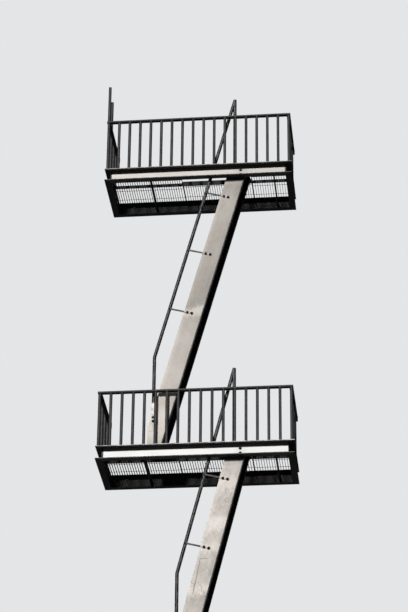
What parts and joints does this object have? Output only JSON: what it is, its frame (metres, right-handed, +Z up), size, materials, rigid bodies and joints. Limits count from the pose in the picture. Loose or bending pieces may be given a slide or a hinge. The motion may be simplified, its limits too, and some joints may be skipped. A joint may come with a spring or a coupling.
{
  "type": "fire escape stair",
  "caption": "Steel fire escape: two railed balconies with grating floors on a wall, joined by a steep channel stair, with a second flight down to the ground.",
  "frame": {"origin": "middle of the lower balcony's rear channel, on its face against the wall", "axes": "+X right along the wall as seen from the street, +Y into the wall, +Z up"},
  "size_m": [2.341, 0.928, 7.787],
  "materials": {
    "frame_paint": "weathered matt pale grey paint",
    "stringer_paint": "weathered matt pale grey paint with stains",
    "bracket_paint": "worn dark paint",
    "rail_paint": "worn black paint",
    "grating_steel": "dark dull paint",
    "dark_steel": "dark dull paint with light rust"
  },
  "bodies": {
    "root": {"lower_floor_left": "grating_steel", "lower_floor_rear": "grating_steel", "lower_floor_right": "grating_steel", "lower_foot_angles": "dark_steel", "lower_front_channel": "frame_paint", "lower_front_railing": "rail_paint", "lower_handrail": "rail_paint", "lower_handrail_brackets": "bracket_paint", "lower_inner_stringer": "stringer_paint", "lower_left_channel": "frame_paint", "lower_left_railing": "rail_paint", "lower_left_tie": "dark_steel", "lower_mid_bearer": "dark_steel", "lower_outer_stringer": "stringer_paint", "lower_rear_channel": "frame_paint", "lower_right_channel": "frame_paint", "lower_right_railing": "rail_paint", "lower_right_tie": "dark_steel", "lower_treads": "dark_steel", "upper_floor_left": "grating_steel", "upper_floor_rear": "grating_steel", "upper_floor_right": "grating_steel", "upper_foot_angles": "dark_steel", "upper_front_channel": "frame_paint", "upper_front_railing": "rail_paint", "upper_handrail": "rail_paint", "upper_handrail_brackets": "bracket_paint", "upper_inner_stringer": "stringer_paint", "upper_left_channel": "frame_paint", "upper_left_railing": "rail_paint", "upper_left_tie": "dark_steel", "upper_mid_bearer": "dark_steel", "upper_outer_stringer": "stringer_paint", "upper_rear_channel": "frame_paint", "upper_right_channel": "frame_paint", "upper_right_railing": "rail_paint", "upper_right_tie": "dark_steel", "upper_tall_posts": "rail_paint", "upper_treads": "dark_steel"}
  },
  "joints": []
}
